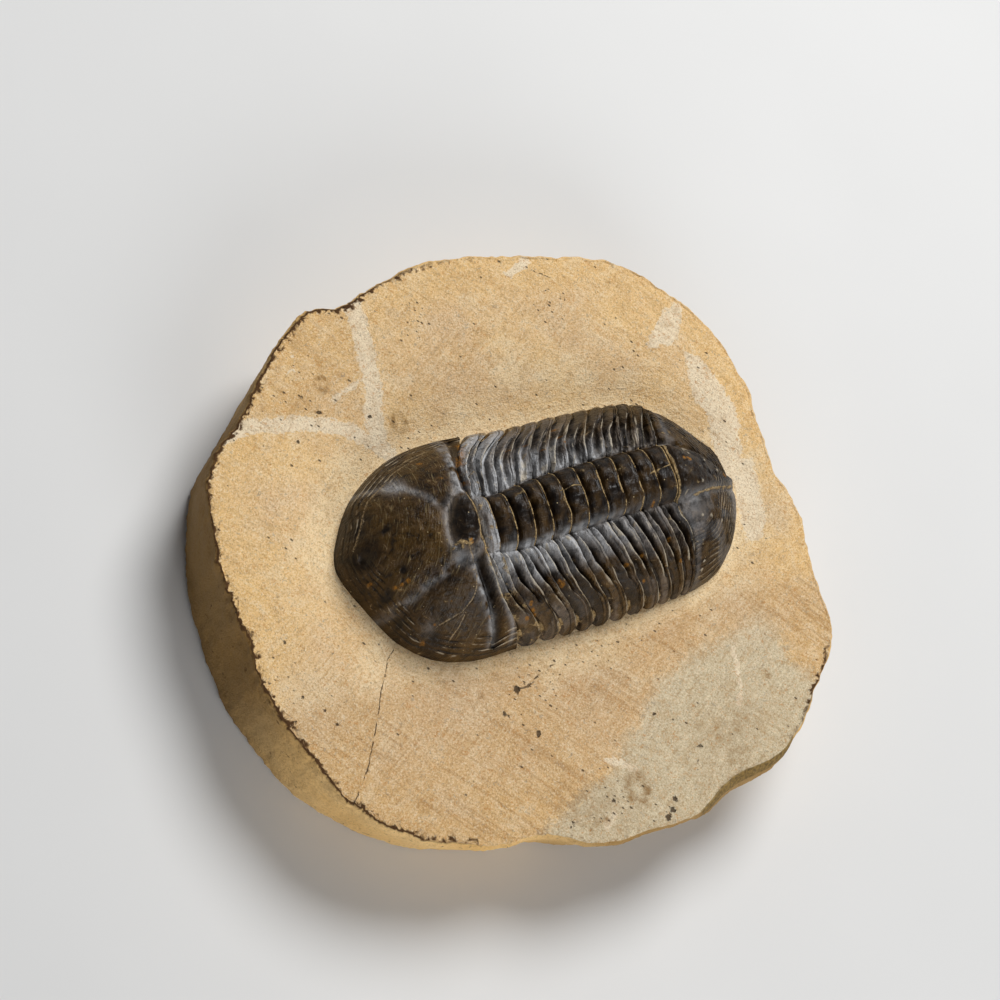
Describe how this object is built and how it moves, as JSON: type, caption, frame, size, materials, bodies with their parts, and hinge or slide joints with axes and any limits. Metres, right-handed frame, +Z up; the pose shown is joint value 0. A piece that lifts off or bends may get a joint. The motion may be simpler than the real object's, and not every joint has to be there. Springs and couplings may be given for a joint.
{
  "type": "asaphid trilobite fossil on a limestone slab",
  "caption": "Trilobite fossil with a jointed shell of head shield, body segments and tail shield, set in a flat-backed slab of pale limestone.",
  "frame": {"origin": "middle of the slab's bounding box, on the flat back face that it lies on", "axes": "+X from the trilobite's head to its tail, +Y to its right flank, +Z up out of the slab's face"},
  "size_m": [0.0924, 0.0914, 0.0323],
  "materials": {
    "limestone_matrix": "matt, fine-grained tan limestone with pale calcite patches and a dirty broken rim",
    "fossil_shell": "dark brown mineralised shell, half gloss, with a blue-grey bloom on the inner pleurae"
  },
  "bodies": {
    "root": {"matrix_slab": "limestone_matrix", "cephalon": "fossil_shell", "thoracic_segment_01": "fossil_shell", "thoracic_segment_02": "fossil_shell", "thoracic_segment_03": "fossil_shell", "thoracic_segment_04": "fossil_shell", "thoracic_segment_05": "fossil_shell", "thoracic_segment_06": "fossil_shell", "thoracic_segment_07": "fossil_shell", "thoracic_segment_08": "fossil_shell", "thoracic_segment_09": "fossil_shell", "thoracic_segment_10": "fossil_shell", "thoracic_segment_11": "fossil_shell", "pygidium": "fossil_shell"}
  },
  "joints": []
}
